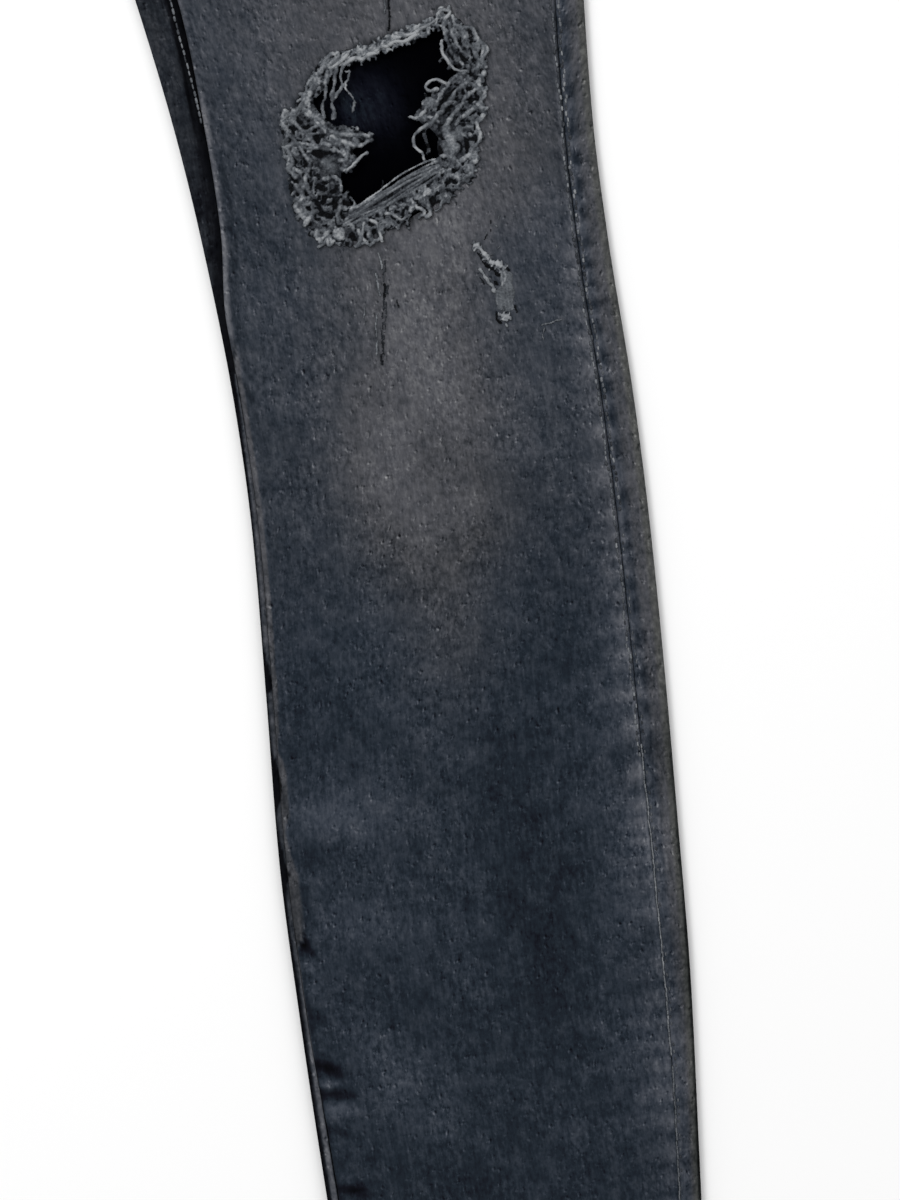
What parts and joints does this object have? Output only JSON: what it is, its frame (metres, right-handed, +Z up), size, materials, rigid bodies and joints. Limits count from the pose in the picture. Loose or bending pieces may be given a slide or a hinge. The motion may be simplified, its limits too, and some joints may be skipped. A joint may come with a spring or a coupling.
{
  "type": "ripped jeans",
  "caption": "Slim denim trousers laid flat, front up, with a frayed open rip over one knee, a lapped fly and a button at the waistband.",
  "frame": {"origin": "middle of the garment's whole outline, on the surface that it lies on", "axes": "+X towards the wearer's left side, +Y towards the waist, +Z up, away from the surface"},
  "size_m": [0.6222, 1.0323, 0.0142],
  "materials": {
    "denim": "washed blue-black stretch twill, faded to grey over the thighs",
    "threads": "light grey loose cotton threads, frayed and curled",
    "metal": "dull plated steel"
  },
  "bodies": {
    "root": {"back_left": "denim", "back_pocket_left": "denim", "back_pocket_right": "denim", "back_right": "denim", "button": "metal", "front_left": "denim", "front_right": "denim", "hem_left": "denim", "hem_right": "denim", "knee_threads": "threads", "loop_back_centre": "denim", "loop_back_left": "denim", "loop_back_right": "denim", "loop_front_left": "denim", "loop_front_right": "denim", "pocket_facing_left": "denim", "pocket_facing_right": "denim", "waistband_left": "denim", "waistband_right": "denim", "yoke_left": "denim", "yoke_right": "denim", "zip": "metal"}
  },
  "joints": []
}
